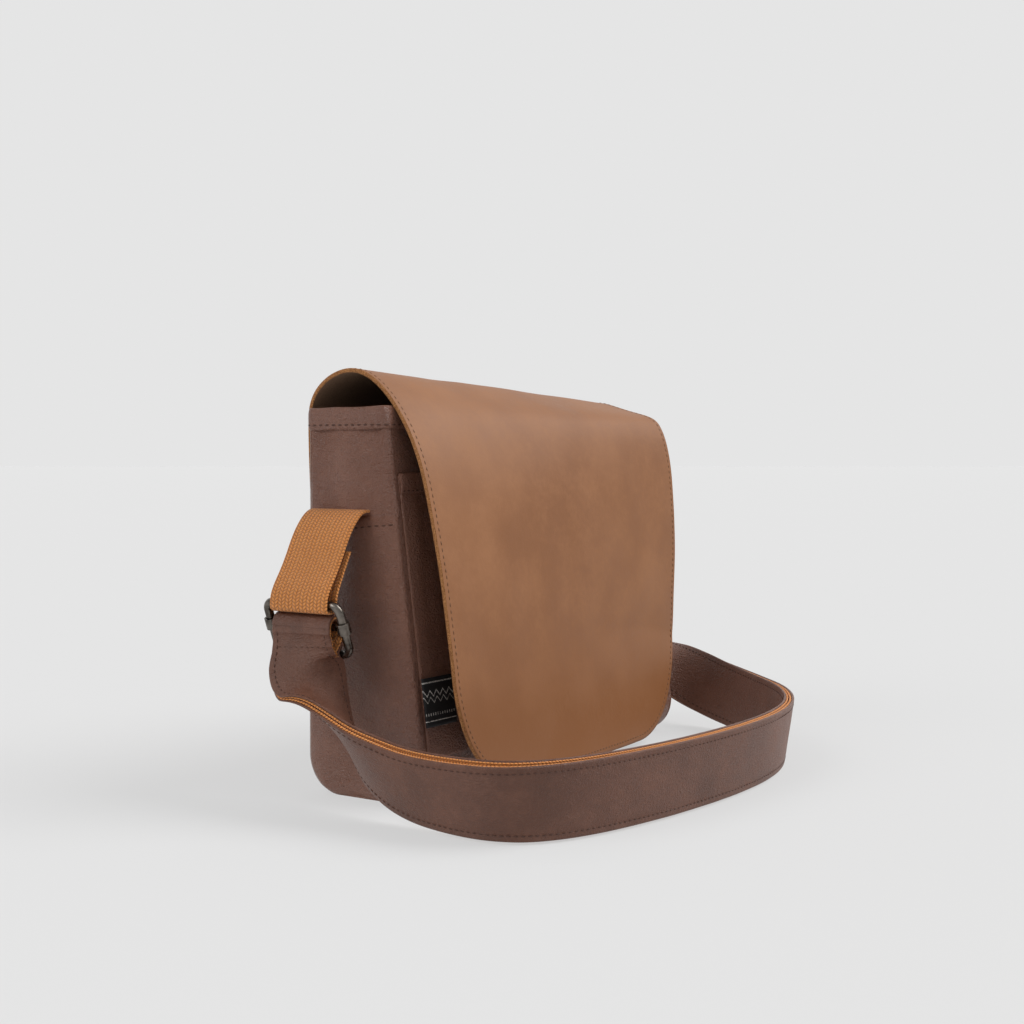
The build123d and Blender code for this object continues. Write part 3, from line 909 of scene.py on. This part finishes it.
# the magnets sit in the backing and on the pocket, where the leather lies
def magnetDisc(node, spot, normal, body):
    bm = bmesh.new()
    radius = magnet["radius"] * mm
    bmesh.ops.create_cone(
        bm, segments=48, radius1=radius, radius2=radius, depth=magnet["depth"] * mm, cap_ends=True
    )
    rims = [edge for edge in bm.edges if edge.calc_face_angle(0) > 1]
    bmesh.ops.bevel(bm, geom=rims, offset=0.3 * mm, segments=2, affect="EDGES")
    turn = normal.to_track_quat("Z", "Y").to_matrix().to_4x4()
    bmesh.ops.transform(bm, verts=bm.verts, matrix=Matrix.Translation(spot) @ turn)
    disc = keepMesh(node + "_disc", bm, [metalLook])
    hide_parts(node)
    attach(disc, body)


for sign, side in ((-1, "left"), (1, "right")):
    x = sign * magnet["side"]
    place, normal = flapPlace(x, flapLong - magnet["fromFoot"])
    magnetDisc("flap_magnet_" + side, (place - normal * (flap["thickness"] + 0.9)) * mm, normal, "flap")
    onWall = pocketPoint((x / pocket["half"] + 1) / 2, 0.274, pocket["low"], pocket["top"], 0.0)
    magnetDisc("pocket_magnet_" + side, onWall + outFront * 1.7 * mm, outFront, "bag")
print("flap made")


# strap

strap = {
    "width": 38.0,
    "tapeWidth": 37.1,
    "ply": 1.5,
    "backPly": 1.3,
    "skin": 0.2,           # from the middle line to the first ply
    "barGap": 4.0,         # kept free for the bar inside each folded end
    "slack": 2.2,          # how far the back plies hang away from the front ones
    "slackStart": 0.2,     # shares of the strap's length between which they hang away
    "slackEnd": 0.53,
    "stitchInset": 3.4,
    "edgeDip": 0.16,
}
barZ = 0.0925
plumbZ = 79.0    # above this height the ends open round the bar
openRise = 9.0   # and over this much height they are fully open


def spread(place):
    return strap["barGap"] * min(max((place.z / mm - plumbZ) / openRise, 0.0), 1.0)


# a flat band along frames; near and far say where its two faces lie, outwards, in mm
def band(name, frames, near, far, width, material, dip=0.0, seed=0.0, steps=24):
    count = len(frames) - 1
    travelled = [0.0]
    for before, after in zip(frames, frames[1:]):
        travelled.append(travelled[-1] + (after[0] - before[0]).length)
    half = width / 2
    bm = grid(count, steps * 2, lambda u, v: Vector((u, v, 0)))
    layer = bm.verts.layers.float_vector["ribbon"]
    for vert in bm.verts:
        index = min(round(vert.co.x * count), count)
        turn = round(vert.co.y * steps * 2) % (steps * 2)
        place, along, across = frames[index]
        outward = along.cross(across)
        low = near(index / count, place)
        high = far(index / count, place)
        radius = (high - low) / 2 * 0.95
        side = turn / steps
        top = side < 1.0
        reach = -half * math.cos(math.pi * (side if top else 2.0 - side))
        past = max(abs(reach) - (half - radius), 0.0)
        rounding = radius - math.sqrt(max(radius * radius - past * past, 0.0))
        if top:
            level = high - rounding
            level -= dip * math.exp(-(((abs(reach) - (half - strap["stitchInset"])) / 0.8) ** 2))
            level += dip * 0.6 * (1 - (reach / half) ** 2)
            level += 0.18 * ripple((travelled[index] / mm, reach, 0), 0.06, seed) if dip else 0.0
        else:
            level = low + rounding
        vert[layer] = (reach * mm, travelled[index], 0)
        vert.co = place + (across * reach + outward * level) * mm
    bmesh.ops.remove_doubles(bm, verts=bm.verts, dist=1e-7)
    return keepMesh(name, bm, [material])


def mainInner(at, place):
    return strap["skin"] + spread(place)


def mainMiddle(at, place):
    return mainInner(at, place) + strap["ply"]


def mainOuter(at, place):
    return mainMiddle(at, place) + strap["ply"]


# the back plies are made with their own outward side turned the other way
def backInner(at, place):
    start = strap["slackStart"]
    share = min(max((at - start) / (strap["slackEnd"] - start), 0.0), 1.0)
    return strap["skin"] + spread(place) + strap["slack"] * math.sin(math.pi * share) ** 2


def backMiddle(at, place):
    return backInner(at, place) + strap["backPly"]


def backOuter(at, place):
    return backMiddle(at, place) + strap["backPly"]


backFrames = [(place, along, -across) for place, along, across in strapFrames]


def turnFrames(sign):
    frames = []
    centre = Vector((sign * 0.161, 0.0175, barZ))
    for step in range(25):
        angle = math.pi * step / 24
        radial = Vector((sign * -math.cos(angle), 0, math.sin(angle)))
        across = Vector((0, 1, 0))
        along = across.cross(radial)
        frames.append((centre, along, across))
    return frames


def flatBand(name, frames, low, high, width, material):
    return band(name, frames, lambda at, place: low, lambda at, place: high, width, material)


def leatherPly(name, frames, near, far, seed):
    return band(name, frames, near, far, strap["width"], strapLeatherLook, strap["edgeDip"], seed)


def tapePly(name, frames, near, far):
    return band(name, frames, near, far, strap["tapeWidth"], tapeLook)


def endTurn(sign, side):
    low = strap["barGap"] + strap["skin"]
    middle = low + 1.4
    high = low + 2.9
    leatherTurn = flatBand(
        "strap_turn_" + side, turnFrames(sign), middle, high, strap["width"], strapLeatherLook
    )
    tapeTurn = flatBand(
        "strap_turn_tape_" + side, turnFrames(sign), low, middle, strap["tapeWidth"], tapeLook
    )
    return leatherTurn, tapeTurn


outerLeather = leatherPly("strap_leather_outer", strapFrames, mainMiddle, mainOuter, 81.0)
outerTape = tapePly("strap_tape_outer", strapFrames, mainInner, mainMiddle)
backLeather = leatherPly("strap_leather_back", backFrames, backMiddle, backOuter, 87.0)
backTape = tapePly("strap_tape_back", backFrames, backInner, backMiddle)
leftTurn, leftTurnTape = endTurn(-1, "left")
rightTurn, rightTurnTape = endTurn(1, "right")
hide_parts("strap_leather")
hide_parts("strap_webbing")
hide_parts("strap_back_leather")
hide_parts("strap_back_webbing")
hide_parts("left_end_turn")
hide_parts("right_end_turn")

seam = bmesh.new()
stitchTop = barZ - 0.004
stitchReach = strap["width"] / 2 - strap["stitchInset"]
for frames, outer in ((strapFrames, mainOuter), (backFrames, backOuter)):
    for side in (-1, 1):
        places = []
        normals = []
        for index, (place, along, across) in enumerate(frames):
            if place.z > stitchTop:
                continue
            outward = along.cross(across)
            level = outer(index / (len(frames) - 1), place)
            places.append(place + (across * side * stitchReach + outward * level) * mm)
            normals.append(outward)
        stitchRow(seam, places, normals, 3.4, 2.6, 0.46, 0.12)
# three rows across the back leather, each at a frame of the strap
rowHalf = 15.6
for index in (26, 74, len(backFrames) - 27):
    place, along, across = backFrames[index]
    outward = along.cross(across)
    level = backOuter(index / (len(backFrames) - 1), place)
    reaches = [-rowHalf + 2 * rowHalf * step / 20 for step in range(21)]
    row = [place + (across * reach + outward * level) * mm for reach in reaches]
    stitchRow(seam, row, [outward] * 21, 3.2, 2.4, 0.36, 0.1)
strapStitches = keepMesh("strap_stitches", seam, [brownThread])
strapPieces = [
    outerLeather, outerTape, backLeather, backTape, leftTurn, leftTurnTape, rightTurn, rightTurnTape,
    strapStitches,
]
for piece in strapPieces:
    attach(piece, "strap")

anchor = {"width": 37.6, "halfPly": 0.8}
# anchor webbing, x and z in mm: from the side seam down, round the top bar and back up
anchorControls = [
    (-131.8, 149.6),
    (-136.0, 150.6),
    (-142.5, 148.6),
    (-151.0, 139.0),
    (-159.0, 123.0),
    (-168.2, 110.0),
    (-169.3, 103.0),
    (-168.6, 100.1),
    (-162.0, 100.1),
    (-161.6, 104.0),
    (-161.0, 109.0),
    (-156.5, 118.0),
    (-150.2, 130.0),
]


def anchorBand(sign, name):
    line = readSpline([(x * mm * -sign, 0.0175, z * mm) for x, z in anchorControls], 14)
    frames = []
    last = len(line) - 1
    for step, place in enumerate(line):
        along = (line[min(step + 1, last)] - line[max(step - 1, 0)]).normalized()
        frames.append((place, along, Vector((0, 1, 0))))
    made = flatBand(name, frames, -anchor["halfPly"], anchor["halfPly"], anchor["width"], tapeLook)
    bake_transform(made)
    return made


leftAnchor = anchorBand(-1, "anchor_webbing_left")
rightAnchor = anchorBand(1, "anchor_webbing_right")
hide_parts("left_webbing")
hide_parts("right_webbing")
print("strap made")


# metal and inner pieces from the frame

def dress(node, material):
    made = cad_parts[node]
    made.data.materials.clear()
    made.data.materials.append(material)


for node in ("buckle_frame", "buckle_bar", "right_ring"):
    dress(node, metalLook)
for node in ("inner_pocket", "inner_pocket_hem"):
    dress(node, liningLook)
dress("base_board", boardLook)


# floor and light

studio = {"backdrop": 0.784, "floorOwn": 0.519, "floorTint": 0.2, "sky": 0.44, "key": 2.6, "fill": 1.2}


def stagePlane(name, size, own, tint):
    bm = bmesh.new()
    bmesh.ops.create_grid(bm, x_segments=1, y_segments=1, size=size)
    look = Shader(name, Base_Color=(tint, tint, tint, 1), Roughness=1.0, Specular_IOR_Level=0.0,
                  Emission_Color=(own, own, own, 1), Emission_Strength=1.0)
    made = keepMesh(name, bm, [look.material], False)
    return made


floor = stagePlane("floor", 60.0, studio["floorOwn"], studio["floorTint"])
floor.location.z = -0.0004
backdrop = stagePlane("backdrop", 30.0, studio["backdrop"], 0.0)
backdrop.location = (12.0, 8.0, 0.0)
backdrop.visible_shadow = False
backdrop.rotation_euler = (Vector((-12.0, -8.0, 0.0))).to_track_quat("Z", "Y").to_euler()


def sunLight(name, direction, power, angle):
    data = bpy.data.lights.new(name, "SUN")
    data.energy = power
    data.angle = math.radians(angle)
    lamp = bpy.data.objects.new(name, data)
    lamp.rotation_euler = (-Vector(direction)).to_track_quat("-Z", "Y").to_euler()
    bpy.context.collection.objects.link(lamp)


world = bpy.data.worlds.new("studio")
world.use_nodes = True
world.node_tree.nodes["Background"].inputs["Color"].default_value = (1.0, 1.0, 1.0, 1)
world.node_tree.nodes["Background"].inputs["Strength"].default_value = studio["sky"]
bpy.context.scene.world = world
bpy.context.scene.view_settings.view_transform = "Standard"
sunLight("key", (0.6, -0.75, 0.9), studio["key"], 40)
sunLight("fill", (-1.0, 0.4, 0.8), studio["fill"], 40)
